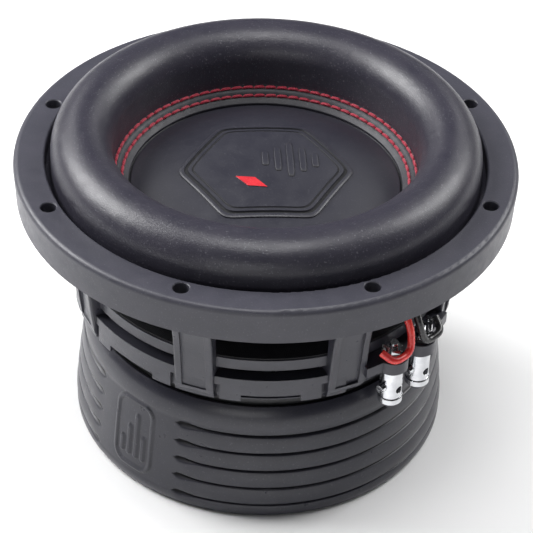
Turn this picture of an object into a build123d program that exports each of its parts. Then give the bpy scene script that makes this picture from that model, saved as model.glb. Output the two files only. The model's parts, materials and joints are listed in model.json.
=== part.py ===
from build123d import *
import math
import os

# A 200 mm class high-roll car subwoofer driver, standing on its motor boot with the cone facing up.
# Millimetres. The origin is the centre of the boot's underside and +Z runs along the driver's axis.

# How far a cutter runs past the faces that it cuts.
overrun = 1.0

# ---- flange and trim gasket -------------------------------------------------------------------
gasket_top = 140.0
gasket_radius = 112.0
gasket_foot_radius = 111.2
gasket_inner_radius = 98.0
gasket_edge_round = 2.4
gasket_lip_round = 1.0
gasket_fit = 0.1
hole_mouth_chamfer = 0.4
flange_underside = 123.2
flange_top = 131.0
flange_radius = 108.6
flange_inner_radius = 92.0
bolt_count = 8
bolt_circle_radius = 103.1
bolt_hole_radius = 3.45
first_arm_azimuth = 22.5
arm_pitch = 360.0 / bolt_count

# ---- surround ---------------------------------------------------------------------------------
roll_mid_radius = 81.9
roll_radius = 13.6
roll_centre_height = 143.4
roll_wall = 2.0
surround_foot_radius = 99.2
surround_foot_thickness = 2.0
surround_inner_radius = 61.2
surround_flange_drop = 1.52

# ---- cone, dust cap and stitching -------------------------------------------------------------
cone_slope = 0.78
cone_edge_radius = 70.6
cone_top_at_cap = 123.5
cap_radius = 60.4
cap_rise = 8.0
cap_wall = 1.4
cone_wall_height = 2.0
stitch_outer_radius = 67.4
stitch_inner_radius = 64.15
thread_radius = 0.45
soft_gap = 0.2
badge_radius = 36.0
badge_thickness = 0.8
accent_length = 16.0
accent_width = 6.5
accent_offset = 14.0
accent_thickness = 0.3
accent_turn = -30.0

# ---- voice coil -------------------------------------------------------------------------------
former_inner_radius = 25.5
former_outer_radius = 25.9
former_bottom = 45.0
former_top = 99.0
coil_bottom = 47.0
coil_top = 77.0
coil_mid_radius = 26.55
coil_outer_radius = 27.2
neck_bottom = 95.4

# ---- spider -----------------------------------------------------------------------------------
spider_outer_radius = 83.4
spider_foot_inner_radius = 75.0
spider_inner_radius = 26.1
spider_wall = 0.8
spider_runs = 10
spider_swing = 1.9
landing_top = 90.5
landing_bottom = 85.0
landing_inner_radius = 74.0
landing_outer_radius = 84.0

# ---- motor ------------------------------------------------------------------------------------
boot_floor = 3.0
back_plate_thickness = 10.0
magnet_height = 22.0
top_plate_thickness = 10.0
plate_radius = 76.8
magnet_radius = 76.3
magnet_inner_radius = 40.0
gap_outer_radius = 28.0
pole_radius = 24.6
sleeve_radius = 25.0
vent_radius = 12.0
yoke_top = boot_floor + back_plate_thickness
magnet_seam = yoke_top + magnet_height
top_plate_bottom = magnet_seam + magnet_height
top_plate_top = top_plate_bottom + top_plate_thickness

# ---- motor boot -------------------------------------------------------------------------------
boot_inner_radius = 77.1
boot_floor_hole_radius = 55.0
boot_lip_height = 59.4
groove_heights = (45.0, 35.6, 26.2, 16.8, 7.4)
groove_depth = 1.1
groove_half_width = 1.0
panel_azimuths = (-135.0, 45.0)
panel_half_angle = 15.0

# ---- basket -----------------------------------------------------------------------------------
arm_width = 18.0
arm_rib_width = 3.4
arm_recess = 1.2
arm_edge_round = 1.0
arm_corner_round = 9.0
arm_corner_back = 82.5
arm_top_radius = 99.5
arm_heel_start = (86.9, 74.0)
arm_heel_middle = (85.4, 69.6)
arm_heel_end_radius = 81.0
arm_back_radius = 77.5
trough_bottom = 73.0
trough_top = 112.0
trough_reach = 92.5
floor_radius = 82.0
floor_thickness = 4.0
floor_hole_radius = 31.0
rim_bottom = 69.0
rim_top = 81.3
rim_radius = 86.3
rim_inner_radius = 80.5
notch_width = 26.0
notch_top = 72.4
notch_setback = 1.5
notch_sill = 0.6
relief_width = 2.4
relief_inner_radius = 83.0
relief_top = 77.0
screw_circle_radius = 66.0
screw_radius = 2.0
screw_length = 8.0
screw_play = 0.25

# ---- terminals --------------------------------------------------------------------------------
terminal_azimuths = {"front": -47.0, "rear": 133.0}
terminal_sides = {"left": -1, "right": 1}
terminal_circle_radius = 88.4
terminal_spacing = 18.0
bracket_bottom = 76.5
bracket_top = 82.5
bracket_inner_radius = 82.6
bracket_outer_radius = 90.6
bracket_inset = 4.9
boss_radius = 6.9
bush_radius = 3.4
bush_flange_radius = 5.6
bush_flange = 1.2
barrel_bottom = 61.0
barrel_radius = 5.1
barrel_bore_radius = 3.25
barrel_bore_top = 72.0
stud_radius = 2.0
stud_top = 90.0
wire_hole_height = 65.5
wire_hole_radius = 1.8
end_ring_height = 3.5
end_ring_radius = 5.5
button_stem_radius = 2.5
button_head_radius = 3.2
button_travel = 2.5
button_head_top = 67.0
seam = 0.1
button_play = 0.06
spring_radius = 2.4
spring_wire_radius = 0.25
nut_flats = 7.0
nut_height = 3.0
tab_thickness = 0.8

# ---- leads ------------------------------------------------------------------------------------
tinsel_radius = 0.8
sleeve_outer_radius = 1.7
eyelet_radius = 36.0
eyelet_half_angle = 8.0
eyelet_shank_radius = 1.4


def ring_of(points):
    """A solid of revolution about Z from (radius, height) points."""
    return revolve(Plane.XZ * make_face(Polyline(*points, close=True)), Axis.Z, 360)


def tube(outer, inner, bottom, top):
    """A plain ring between two heights."""
    return ring_of([(inner, bottom), (outer, bottom), (outer, top), (inner, top)])


def rod(radius, bottom, top):
    """A vertical cylinder between two heights."""
    return Pos(0, 0, (bottom + top) / 2) * Cylinder(radius, top - bottom)


def block(x_low, x_high, width, z_low, z_high):
    """A box centred on the X axis."""
    size = (x_high - x_low, width, z_high - z_low)
    return Pos((x_low + x_high) / 2, 0, (z_low + z_high) / 2) * Box(*size)


def turned(shape, azimuth):
    """The shape turned about the driver's axis."""
    return Rot(0, 0, azimuth) * shape


def arm_azimuths():
    """The azimuths of the eight arms, which are also those of the bolt holes."""
    return [first_arm_azimuth + arm_pitch * k for k in range(bolt_count)]


def window_azimuths():
    """The azimuths of the middles of the eight windows."""
    return [arm_pitch * k for k in range(bolt_count)]


def cone_top(radius):
    """The height of the cone's upper surface at a radius."""
    return cone_top_at_cap + cone_slope * (radius - cap_radius)


def bolt_holes(bottom, top):
    """The eight bolt holes as cutters."""
    hole = rod(bolt_hole_radius, bottom, top)
    return [turned(Pos(bolt_circle_radius, 0, 0) * hole, a) for a in arm_azimuths()]


# ---- frame and trim ---------------------------------------------------------------------------


def make_arm():
    """One arm on the X axis: it flares into the flange and curves in at its foot."""
    arm_top = flange_underside + overrun
    flare = [(92.6, 110.0), (89.9, 98.0), (88.2, 84.0)]
    outer = Spline([(arm_top_radius, arm_top), *flare, arm_heel_start])
    heel = ThreePointArc(arm_heel_start, arm_heel_middle, (arm_heel_end_radius, top_plate_top))
    inner = Polyline(
        (arm_heel_end_radius, top_plate_top),
        (arm_back_radius, top_plate_top),
        (arm_back_radius, landing_top),
        (84.2, landing_top),
        (84.8, 106.0),
        (flange_inner_radius, arm_top),
        (arm_top_radius, arm_top),
    )
    section = Plane.XZ * make_face([outer, heel, inner])
    arm = extrude(section, amount=arm_width / 2, both=True)
    outer_edges = arm.edges().filter_by(GeomType.BSPLINE)
    arm = fillet(outer_edges.filter_by(lambda e: abs(e.center().Y) > arm_rib_width), arm_edge_round)
    trough_width = arm_width - 2 * arm_rib_width
    shift = Pos(-arm_recess, 0, 0)
    trough = extrude(section, amount=trough_width / 2, both=True) - shift * extrude(
        section, amount=trough_width, both=True
    )
    trough &= block(landing_outer_radius, trough_reach, arm_width, trough_bottom, trough_top)
    return arm - trough


def window_of(azimuth):
    """The azimuth of the middle of the window that holds an azimuth."""
    return arm_pitch * round(azimuth / arm_pitch)


def window_wedge(azimuth, inset=0.0):
    """The sector of the window that holds an azimuth, from arm centre to arm centre less an inset angle."""
    reach = gasket_radius
    half = math.radians(arm_pitch / 2 - inset)
    corner = (reach * math.cos(half), reach * math.sin(half))
    outline = Polyline((0, 0), (corner[0], -corner[1]), (reach, 0), corner, close=True)
    return turned(extrude(make_face(outline), gasket_top), window_of(azimuth))


def rim_notch():
    """The notch in the rim's foot at a window's middle, which also sets the floor's edge back."""
    back = rim_inner_radius - notch_setback
    return block(back, rim_radius + overrun, notch_width, top_plate_top + notch_sill, notch_top)


def arm_corner(side):
    """What is cut from one foot corner of an arm beside a terminal window, leaving it round."""
    reach = arm_corner_round + overrun
    depth = arm_top_radius - arm_corner_back
    spot = Pos(
        (arm_top_radius + arm_corner_back) / 2,
        side * (arm_width / 2 - arm_corner_round),
        top_plate_top + arm_corner_round,
    )
    square = Pos(0, side * reach / 2, -reach / 2) * Box(depth, reach, reach)
    return spot * (square - Rot(0, 90, 0) * Cylinder(arm_corner_round, depth + overrun))


def make_rim():
    """The notched base ring, left out of the two terminal windows."""
    rim = tube(rim_radius, rim_inner_radius, rim_bottom, rim_top)
    relief_offset = arm_width / 2 + relief_width / 2
    relief = block(relief_inner_radius, rim_radius + overrun, relief_width, rim_bottom - overrun, relief_top)
    for azimuth in arm_azimuths():
        for side in (-1, 1):
            rim -= turned(Pos(0, side * relief_offset, 0) * relief, azimuth)
    for azimuth in terminal_azimuths.values():
        rim -= window_wedge(azimuth)
    return rim


def make_bracket(azimuth):
    """A terminal bracket: a curved bar between two arms with a boss at each terminal."""
    bar = tube(bracket_outer_radius, bracket_inner_radius, bracket_bottom + 0.8, bracket_top)
    bar &= window_wedge(azimuth, bracket_inset)
    for side in terminal_sides.values():
        spot = Rot(0, 0, azimuth) * Pos(terminal_circle_radius, side * terminal_spacing / 2, 0)
        bar += spot * rod(boss_radius, bracket_bottom, bracket_top)
    for side in terminal_sides.values():
        spot = Rot(0, 0, azimuth) * Pos(terminal_circle_radius, side * terminal_spacing / 2, 0)
        bar -= spot * rod(bush_radius, bracket_bottom - overrun, bracket_top + overrun)
    return bar


def make_basket():
    """The cast frame: flange, eight arms, spider landing ring, floor, notched rim and terminal brackets."""
    flange = tube(flange_radius, flange_inner_radius, flange_underside, flange_top)
    landing = tube(landing_outer_radius, landing_inner_radius, landing_bottom, landing_top)
    floor = tube(floor_radius, floor_hole_radius, top_plate_top, top_plate_top + floor_thickness)
    body = flange + landing + floor + make_rim()
    arm = make_arm()
    for azimuth in arm_azimuths():
        body += turned(arm, azimuth)
    for azimuth in terminal_azimuths.values():
        body += make_bracket(azimuth)
        for side in (-1, 1):
            body -= turned(arm_corner(-side), window_of(azimuth) + side * arm_pitch / 2)
    for azimuth in window_azimuths():
        body -= turned(rim_notch(), azimuth)
    body -= bolt_holes(flange_underside - overrun, flange_top + overrun)
    floor_top = top_plate_top + floor_thickness
    screw_hole = rod(screw_radius + screw_play, top_plate_top - overrun, floor_top + overrun)
    body -= [turned(Pos(screw_circle_radius, 0, 0) * screw_hole, a) for a in window_azimuths()]
    return body


def make_trim_gasket():
    """The rubber ring that covers the flange's top and outer wall, with rounded upper edges."""
    lip = surround_foot_thickness + flange_top
    crown_start = (gasket_radius - gasket_edge_round, gasket_top)
    crown_end = (gasket_radius, gasket_top - gasket_edge_round)
    inner_start = (gasket_inner_radius, gasket_top - gasket_lip_round)
    inner_end = (gasket_inner_radius + gasket_lip_round, gasket_top)
    rest = Polyline(
        crown_end,
        (gasket_foot_radius, flange_underside),
        (flange_radius + gasket_fit, flange_underside),
        (flange_radius + gasket_fit, flange_top),
        (surround_foot_radius + 2 * gasket_fit, flange_top),
        (surround_foot_radius + 2 * gasket_fit, lip),
        (gasket_inner_radius, lip),
        inner_start,
    )
    outline = [
        RadiusArc(inner_start, inner_end, gasket_lip_round),
        Line(inner_end, crown_start),
        RadiusArc(crown_start, crown_end, gasket_edge_round),
        rest,
    ]
    ring = revolve(Plane.XZ * make_face(outline), Axis.Z, 360)
    ring -= bolt_holes(flange_top - 1, gasket_top + 1)
    circles = ring.edges().filter_by(GeomType.CIRCLE)
    mouths = circles.filter_by(lambda e: math.isclose(e.radius, bolt_hole_radius, rel_tol=0.003))
    upper_mouths = mouths.filter_by(lambda e: e.center().Z > flange_top + gasket_lip_round)
    return chamfer(upper_mouths, hole_mouth_chamfer)


# ---- moving parts -----------------------------------------------------------------------------


def make_surround():
    """The half-roll with its outer foot and its sloped inner flange."""
    outer = roll_mid_radius + roll_radius
    inner = roll_mid_radius - roll_radius
    foot_top = flange_top + surround_foot_thickness
    rise = surround_flange_drop
    inside_height = cone_top(inner + roll_wall) + soft_gap
    outside = ThreePointArc(
        (outer, roll_centre_height),
        (roll_mid_radius, roll_centre_height + roll_radius),
        (inner, roll_centre_height),
    )
    inside = ThreePointArc(
        (inner + roll_wall, roll_centre_height),
        (roll_mid_radius, roll_centre_height + roll_radius - roll_wall),
        (outer - roll_wall, roll_centre_height),
    )
    flange = Polyline(
        (inner, roll_centre_height),
        (inner, cone_top(inner) + rise),
        (surround_inner_radius, cone_top(surround_inner_radius) + rise),
        (surround_inner_radius, cone_top(surround_inner_radius) + soft_gap),
        (inner + roll_wall, inside_height),
        (inner + roll_wall, roll_centre_height),
    )
    foot = Polyline(
        (outer - roll_wall, roll_centre_height),
        (outer - roll_wall, flange_top),
        (surround_foot_radius, flange_top),
        (surround_foot_radius, foot_top),
        (outer, foot_top),
        (outer, roll_centre_height),
    )
    return revolve(Plane.XZ * make_face([outside, flange, inside, foot]), Axis.Z, 360)


def make_cone():
    """The straight-sided cone with a short neck on the former."""
    neck = former_outer_radius
    points = [
        (cone_edge_radius, cone_top(cone_edge_radius)),
        (cone_edge_radius, cone_top(cone_edge_radius) - cone_wall_height),
        (neck + 2.6, cone_top(neck + 2.6) - cone_wall_height),
        (neck + 1.2, neck_bottom),
        (neck, neck_bottom),
        (neck, cone_top(neck) + 1.0),
        (neck + 1.2, cone_top(neck + 1.2)),
    ]
    eyelet_hole = Cylinder(eyelet_shank_radius, 6.0)
    return ring_of(points) - [spot * eyelet_hole for spot in eyelet_spots()]


def cap_shell(radius, height, wall):
    """A shallow domed disc between two spheres centred on the axis, over an edge at a height."""
    sphere_radius = (radius**2 + cap_rise**2) / (2 * cap_rise)
    centre = Pos(0, 0, height + cap_rise - sphere_radius)
    dome = centre * (Sphere(sphere_radius) - Sphere(sphere_radius - wall))
    return dome & rod(radius, height - 2 * wall, height + 2 * cap_rise)


def cap_edge_height():
    """The height of the dust cap's upper edge, clear of the cone under it."""
    return cone_top(cap_radius) + cap_wall + 0.15


def make_dust_cap():
    """The shallow domed dust cap bonded to the cone inside the surround's flange."""
    return cap_shell(cap_radius, cap_edge_height(), cap_wall)


def make_cap_badge():
    """A thin raised plate, domed with the cap and notched into a plain six-sided outline."""
    raised = Pos(0, 0, badge_thickness) * cap_shell(cap_radius, cap_edge_height(), cap_wall)
    outline = extrude(RegularPolygon(badge_radius, 6), gasket_top * 2)
    return (raised - make_dust_cap()) & outline


def make_badge_accent():
    """A small lozenge of red enamel standing on the badge, off its centre."""
    lift = badge_thickness + accent_thickness
    skin = Pos(0, 0, lift) * cap_shell(cap_radius, cap_edge_height(), cap_wall)
    lower = Pos(0, 0, badge_thickness) * cap_shell(cap_radius, cap_edge_height(), cap_wall)
    long_half, short_half = accent_length / 2, accent_width / 2
    lozenge = Polyline((-long_half, 0), (0, -short_half), (long_half, 0), (0, short_half), close=True)
    spot = Rot(0, 0, accent_turn) * Pos(0, -accent_offset, 0)
    column = spot * extrude(make_face(lozenge), gasket_top * 2)
    return (skin - lower) & column


def stitch_row(radius):
    """One row of thread, as a plain ring just above the surround's inner flange."""
    height = cone_top(radius) + surround_flange_drop + thread_radius + soft_gap
    return Pos(0, 0, height) * Torus(radius, thread_radius)


def make_spider():
    """The corrugated damper: a flat foot, straight-sided waves and a collar at the former."""
    middle = landing_top + spider_wall / 2
    collar_radius = spider_inner_radius + 1.0
    first = spider_foot_inner_radius
    pitch = (first - collar_radius - 1.4) / spider_runs
    line = [(spider_outer_radius, middle), (first, middle)]
    for k in range(1, spider_runs):
        line.append((first - pitch * k, middle + spider_swing * (1 if k % 2 else -1)))
    line.append((collar_radius + 1.4, middle))
    line.append((spider_inner_radius, middle))
    half = spider_wall / 2
    upper = [(r, z + half) for r, z in line]
    lower = [(r, z - half) for r, z in reversed(line)]
    collar = tube(collar_radius, spider_inner_radius, middle - half, middle + 1.4)
    return ring_of(upper + lower) + collar


def make_neck_adhesive():
    """The adhesive fillet round the former, between the spider's collar and the cone's neck."""
    bottom = landing_top + spider_wall / 2 + 1.6
    inner = former_outer_radius
    return ring_of([(inner, bottom), (inner + 2.0, bottom), (inner, bottom + 2.6)])


# ---- motor ------------------------------------------------------------------------------------


def make_yoke():
    """The back plate and pole in one piece, with a flared vent bore and a groove under the coil."""
    pole_top = top_plate_top
    points = [
        (vent_radius + 3.0, boot_floor),
        (plate_radius - 1.5, boot_floor),
        (plate_radius, boot_floor + 1.5),
        (plate_radius, yoke_top),
        (31.0, yoke_top),
        (29.5, yoke_top - 3.0),
        (pole_radius, yoke_top - 3.0),
        (pole_radius, pole_top),
        (vent_radius + 2.0, pole_top),
        (vent_radius, pole_top - 3.0),
        (vent_radius, boot_floor + 4.0),
    ]
    return ring_of(points)


def make_top_plate():
    """The steel front plate of the gap, with blind holes for the basket screws."""
    plate = tube(plate_radius, gap_outer_radius, top_plate_bottom, top_plate_top)
    depth = screw_length - floor_thickness
    hole = Pos(screw_circle_radius, 0, 0) * rod(screw_radius, top_plate_top - depth, top_plate_top + 1)
    return plate - [turned(hole, a) for a in window_azimuths()]


def make_basket_screws():
    """Eight socket-head screws through the basket's floor, one in each window."""
    head_bottom = top_plate_top + floor_thickness
    head = rod(3.5, head_bottom, head_bottom + 3.6)
    socket = Pos(0, 0, head_bottom + 1.6) * extrude(RegularPolygon(1.7, 6), 3.0)
    screw = head + rod(screw_radius, head_bottom - screw_length, head_bottom) - socket
    return Compound([turned(Pos(screw_circle_radius, 0, 0) * screw, a) for a in window_azimuths()])


def make_vent_screen():
    """A punched disc that closes the vent bore just inside its mouth."""
    screen = rod(vent_radius, boot_floor + 4.2, boot_floor + 5.0)
    pitch = 4.4
    holes = []
    for row in range(-2, 3):
        for column in range(-2, 3):
            x = pitch * (column + row / 2)
            y = pitch * row * math.sqrt(3) / 2
            if math.hypot(x, y) < vent_radius - 2.0:
                holes.append(Pos(x, y, 0) * rod(1.7, boot_floor, boot_floor + 8.0))
    return screen - holes


def boot_outline():
    """The boot's outer line from its foot to its lip, as arcs through four named stations."""
    foot = (84.6, 0.0)
    belly = (86.4, 7.0)
    waist = (82.1, 47.0)
    lip = (78.6, boot_lip_height)
    heel = ThreePointArc(foot, (86.0, 2.2), belly)
    side = ThreePointArc(belly, (84.5, 27.0), waist)
    shoulder = ThreePointArc(waist, (81.4, 54.6), lip)
    return heel, side, shoulder, foot, lip


def boot_radius_at(height):
    """The radius of the boot's side at a height between its belly and its waist."""
    belly, waist, bow = (86.4, 7.0), (82.1, 47.0), 0.25
    share = (height - belly[1]) / (waist[1] - belly[1])
    return belly[0] + (waist[0] - belly[0]) * share + 4 * bow * share * (1 - share)


def make_motor_boot():
    """The rubber boot round the magnets, with grooves that stop at two smooth panels."""
    heel, side, shoulder, foot, lip = boot_outline()
    back = Polyline(
        lip,
        (boot_inner_radius, boot_lip_height),
        (boot_inner_radius, boot_floor),
        (boot_floor_hole_radius, boot_floor),
        (boot_floor_hole_radius, 0.0),
        foot,
    )
    boot = revolve(Plane.XZ * make_face([heel, side, shoulder, back]), Axis.Z, 360)
    sweep_angle = 180.0 - 2 * panel_half_angle
    for height in groove_heights:
        radius = boot_radius_at(height)
        points = [
            (radius + 2.0, height - 2 * groove_half_width),
            (radius - groove_depth, height),
            (radius + 2.0, height + 2 * groove_half_width),
        ]
        cutter = revolve(Plane.XZ * make_face(Polyline(*points, close=True)), Axis.Z, sweep_angle)
        for azimuth in panel_azimuths:
            boot -= turned(cutter, azimuth + panel_half_angle)
    return boot


# ---- terminals --------------------------------------------------------------------------------


def at_terminal(azimuth, side, shape):
    """The shape moved from the Z axis to a terminal, with +X pointing out of the driver."""
    return Rot(0, 0, azimuth) * Pos(terminal_circle_radius, side * terminal_spacing / 2, 0) * shape


def terminal_pair(azimuth, make):
    """Two terminals' pieces as a group of separate solids; make is given the side."""
    return Compound([at_terminal(azimuth, side, make(side)) for side in terminal_sides.values()])


def make_barrel(side):
    """A terminal barrel with its stud, a blind bore, a wire hole facing out and a tapped side hole."""
    body = rod(barrel_radius, barrel_bottom, bracket_bottom - bush_flange)
    stud = rod(stud_radius, bracket_bottom - bush_flange - 1, stud_top)
    bore = rod(barrel_bore_radius, barrel_bottom - 1, barrel_bore_top)
    wire_hole = Pos(5, 0, wire_hole_height) * Rot(0, 90, 0) * Cylinder(wire_hole_radius, 10)
    side_hole = Pos(0, -5, wire_hole_height + 1.5) * Rot(90, 0, 0) * Cylinder(1.1, 10)
    return body + stud - bore - wire_hole - side_hole


def make_end_ring(side):
    """The ring that closes the barrel's mouth and guides the button's stem."""
    bore = button_stem_radius + button_play
    ring = tube(end_ring_radius, bore, barrel_bottom - end_ring_height, barrel_bottom - seam)
    return chamfer(ring.edges().filter_by(GeomType.CIRCLE).sort_by(SortBy.RADIUS)[-2:], 0.4)


def make_bush(side):
    """The insulating bush in the bracket, with a flange under the boss and one above."""
    body = rod(bush_radius, bracket_bottom - bush_flange, bracket_top + bush_flange)
    under = rod(bush_flange_radius, bracket_bottom - bush_flange, bracket_bottom)
    above = rod(bush_flange_radius - 0.8, bracket_top, bracket_top + bush_flange)
    return body + under + above - rod(stud_radius, bracket_bottom - 2, bracket_top + 3)


def make_nut(side):
    """The hexagon nut on the stud, above the solder tab."""
    bottom = bracket_top + bush_flange + tab_thickness
    flats = Pos(0, 0, bottom) * extrude(RegularPolygon(nut_flats / 2, 6, major_radius=False), nut_height)
    return flats - rod(stud_radius, bottom - 1, bottom + nut_height + 1)


def make_solder_tab(side):
    """A bent lug under the nut, its tongue standing up on the side away from the other terminal."""
    bottom = bracket_top + bush_flange
    washer = rod(4.0, bottom, bottom + tab_thickness)
    tongue_foot = Pos(0, side * 4.0, bottom + tab_thickness / 2) * Box(3.6, 3.6, tab_thickness)
    tongue = Pos(0, side * (5.8 - tab_thickness / 2), bottom + 3.4) * Box(3.6, tab_thickness, 6.8)
    eye = Pos(0, side * 5.4, bottom + 5.0) * Rot(90, 0, 0) * Cylinder(0.7, 6)
    return washer + tongue_foot + tongue - eye - rod(stud_radius, bottom - 1, bottom + 2)


def make_side_screw(side):
    """The slotted screw that stands out of the barrel's side."""
    along = Rot(90, 0, 0)
    shank = Pos(0, -barrel_radius + 0.45, 0) * along * Cylinder(1.1, 1.8)
    head = Pos(0, -barrel_radius - 1.25, 0) * along * Cylinder(2.0, 2.4)
    slot = Pos(0, -barrel_radius - 2.45, 0) * Box(4.4, 1.4, 0.6)
    return Pos(0, 0, wire_hole_height + 1.5) * (shank + head - slot)


def make_button():
    """The sprung button: a stem below the end ring and a cross-drilled head in the barrel."""
    head = rod(button_head_radius, barrel_bottom, button_head_top)
    stem = rod(button_stem_radius, barrel_bottom - end_ring_height - button_travel - 0.6, barrel_bottom + 1)
    hole = Pos(0, 0, wire_hole_height - button_travel) * Rot(0, 90, 0) * Cylinder(wire_hole_radius, 10)
    return head + stem - hole


def make_spring():
    """The button's return spring between its head and the end of the bore."""
    bottom = button_head_top + spring_wire_radius + 0.05
    height = barrel_bore_top - spring_wire_radius - 0.05 - bottom
    middle_radius = spring_radius - spring_wire_radius
    path = Pos(0, 0, bottom) * Helix(height / 5, height, middle_radius)
    start = path @ 0
    section = Plane(origin=start, z_dir=path % 0) * Circle(spring_wire_radius)
    return sweep(section, path=path)


# ---- leads ------------------------------------------------------------------------------------


def eyelet_place(reach):
    """The radius and height of a point on the eyelet's axis, which is square to the cone's wall."""
    lean = math.hypot(1.0, cone_slope)
    middle = cone_top(eyelet_radius) - cone_wall_height / 2
    return eyelet_radius + reach * cone_slope / lean, middle - reach / lean


def eyelet_route_point(side, reach):
    """A point on the eyelet's axis in a terminal window's own frame."""
    radius, height = eyelet_place(reach)
    angle = math.radians(side * eyelet_half_angle)
    return radius * math.cos(angle), radius * math.sin(angle), height


def lead_route(side):
    """A lead's corners in a window's own frame: round the stud, up between the terminals, in to the cone."""
    reach = terminal_circle_radius
    return [
        (reach + 0.4, side * 17.7, bracket_top + 6.6),
        (reach + 6.3, side * 15.5, bracket_top + 3.4),
        (reach + 6.3, side * 4.6, bracket_top + 2.6),
        (reach + 3.8, side * 2.5, bracket_top + 13.5),
        (reach - 2.4, side * 3.4, bracket_top + 23.0),
        (reach - 16.0, side * 4.4, bracket_top + 24.0),
        (reach - 32.0, side * 5.2, bracket_top + 16.5),
        eyelet_route_point(side, 9.0),
        eyelet_route_point(side, 1.75),
    ]


def lead_path(corners):
    """Straight runs joined by arcs, each as large as its two runs allow."""
    radii = []
    for before, here, after in zip(corners, corners[1:], corners[2:]):
        run_in = Vector(*here) - Vector(*before)
        run_out = Vector(*after) - Vector(*here)
        half_turn = math.radians(run_in.get_angle(run_out)) / 2
        radii.append(0.45 * min(run_in.length, run_out.length) / math.tan(half_turn))
    return FilletPolyline(*corners, radius=radii)


def swept_round(path, radius):
    """A round bar along a path."""
    section = Plane(origin=path @ 0, z_dir=path % 0) * Circle(radius)
    return sweep(section, path=path)


def sleeve_end(side, gap):
    """The point on the lead's fifth run where the sleeve stops, moved on by a gap."""
    start, stop = Vector(*lead_route(side)[4]), Vector(*lead_route(side)[5])
    point = start + (stop - start).normalized() * ((stop - start).length * 0.5 + gap)
    return tuple(point)


def make_lead(azimuth, side):
    """The bare tinsel lead, from the sleeve's end to the eyelet under the cone."""
    corners = [sleeve_end(side, 0.05)] + lead_route(side)[5:]
    return Rot(0, 0, azimuth) * swept_round(lead_path(corners), tinsel_radius)


def make_lead_sleeve(azimuth, side):
    """The sleeved stretch of the lead, from the solder tab to under the flange."""
    corners = lead_route(side)[:5] + [sleeve_end(side, 0.0)]
    return Rot(0, 0, azimuth) * swept_round(lead_path(corners), sleeve_outer_radius)


def eyelet_spots():
    """The placements of the four eyelets: -Z of each points out of the cone's back."""
    lean = math.degrees(math.atan(cone_slope))
    radius, height = eyelet_place(0.0)
    return [
        Rot(0, 0, azimuth + side * eyelet_half_angle) * Pos(radius, 0, height) * Rot(0, -lean, 0)
        for azimuth in terminal_azimuths.values()
        for side in terminal_sides.values()
    ]


def make_lead_eyelets():
    """Four riveted eyelets through the cone, one for each lead."""
    half_wall = cone_wall_height / 2 / math.hypot(1.0, cone_slope)
    shank = rod(eyelet_shank_radius, -half_wall - 0.3, half_wall + 0.3)
    lower = rod(eyelet_shank_radius + 1.0, -half_wall - 0.55, -half_wall)
    upper = rod(eyelet_shank_radius + 0.8, half_wall + 0.06, half_wall + 0.5)
    return Compound([spot * (shank + lower + upper) for spot in eyelet_spots()])


# ---- the whole driver -------------------------------------------------------------------------


def make_nodes():
    """Every node's name and its solid or group of solids."""
    nodes = {
        "basket": make_basket(),
        "trim_gasket": make_trim_gasket(),
        "surround": make_surround(),
        "spider": make_spider(),
        "cone": make_cone(),
        "dust_cap": make_dust_cap(),
        "cap_badge": make_cap_badge(),
        "badge_accent": make_badge_accent(),
        "stitch_row_outer": stitch_row(stitch_outer_radius),
        "stitch_row_inner": stitch_row(stitch_inner_radius),
        "coil_former": tube(former_outer_radius, former_inner_radius, former_bottom, former_top),
        "voice_coil_inner": tube(coil_mid_radius, former_outer_radius, coil_bottom, coil_top),
        "voice_coil_outer": tube(coil_outer_radius, coil_mid_radius, coil_bottom, coil_top),
        "neck_adhesive": make_neck_adhesive(),
        "lead_eyelets": make_lead_eyelets(),
        "top_plate": make_top_plate(),
        "magnet_upper": tube(magnet_radius, magnet_inner_radius, magnet_seam, top_plate_bottom),
        "magnet_lower": tube(magnet_radius, magnet_inner_radius, yoke_top, magnet_seam),
        "yoke": make_yoke(),
        "shorting_sleeve": tube(sleeve_radius, pole_radius, magnet_seam + 8.0, top_plate_top),
        "vent_screen": make_vent_screen(),
        "motor_boot": make_motor_boot(),
        "basket_screws": make_basket_screws(),
    }
    for place, azimuth in terminal_azimuths.items():
        nodes[f"terminal_barrels_{place}"] = terminal_pair(azimuth, make_barrel)
        nodes[f"terminal_end_rings_{place}"] = terminal_pair(azimuth, make_end_ring)
        nodes[f"terminal_bushes_{place}"] = terminal_pair(azimuth, make_bush)
        nodes[f"terminal_nuts_{place}"] = terminal_pair(azimuth, make_nut)
        nodes[f"solder_tabs_{place}"] = terminal_pair(azimuth, make_solder_tab)
        nodes[f"side_screws_{place}"] = terminal_pair(azimuth, make_side_screw)
        for hand, side in terminal_sides.items():
            nodes[f"push_button_{place}_{hand}"] = at_terminal(azimuth, side, make_button())
            nodes[f"button_spring_{place}_{hand}"] = at_terminal(azimuth, side, make_spring())
            nodes[f"tinsel_lead_{place}_{hand}"] = make_lead(azimuth, side)
            nodes[f"lead_sleeve_{place}_{hand}"] = make_lead_sleeve(azimuth, side)
    return nodes


os.makedirs("parts", exist_ok=True)
for name, shape in make_nodes().items():
    export_step(shape, f"parts/{name}.step")
    print(name, round(shape.volume, 2))
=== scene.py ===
import json
import logging
import math
from dataclasses import dataclass, field
from enum import Enum

import bmesh
import bpy
import numpy as np
from mathutils import Matrix, Vector

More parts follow.
